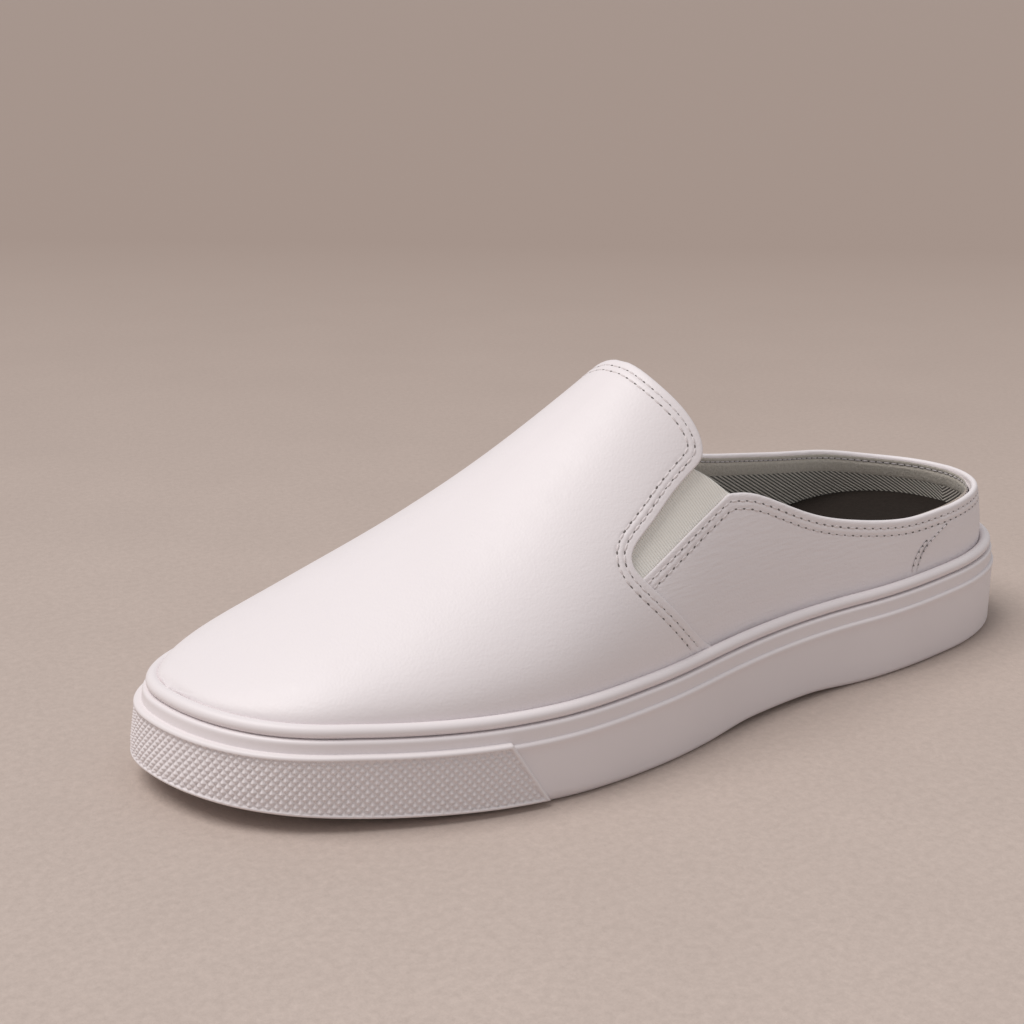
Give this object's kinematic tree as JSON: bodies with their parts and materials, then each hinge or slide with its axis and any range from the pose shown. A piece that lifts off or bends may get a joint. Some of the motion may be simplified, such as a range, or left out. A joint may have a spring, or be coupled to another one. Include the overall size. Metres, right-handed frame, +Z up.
{
  "type": "sneaker mule",
  "caption": "Low slip-on sneaker mule, left shoe: plain one-piece vamp, elastic gores, low open quarters and heel, rubber cup sole with a textured toe bumper.",
  "frame": {"origin": "on the floor, under the middle of the shoe's box", "axes": "+X from heel to toe, +Y to the lateral side, +Z up from the floor"},
  "size_m": [0.2906, 0.1046, 0.0961],
  "materials": {
    "sole_rubber": "satin white rubber, textured on the toe bumper",
    "upper_leather": "smooth white leather, soft satin",
    "gore_elastic": "ribbed ecru elastic",
    "footbed_fabric": "dark brown cloth"
  },
  "bodies": {
    "root": {"outsole": "sole_rubber", "toe_bumper": "sole_rubber", "welt": "sole_rubber", "upper": "upper_leather", "gore_lateral": "gore_elastic", "gore_medial": "gore_elastic", "insole": "footbed_fabric"}
  },
  "joints": []
}
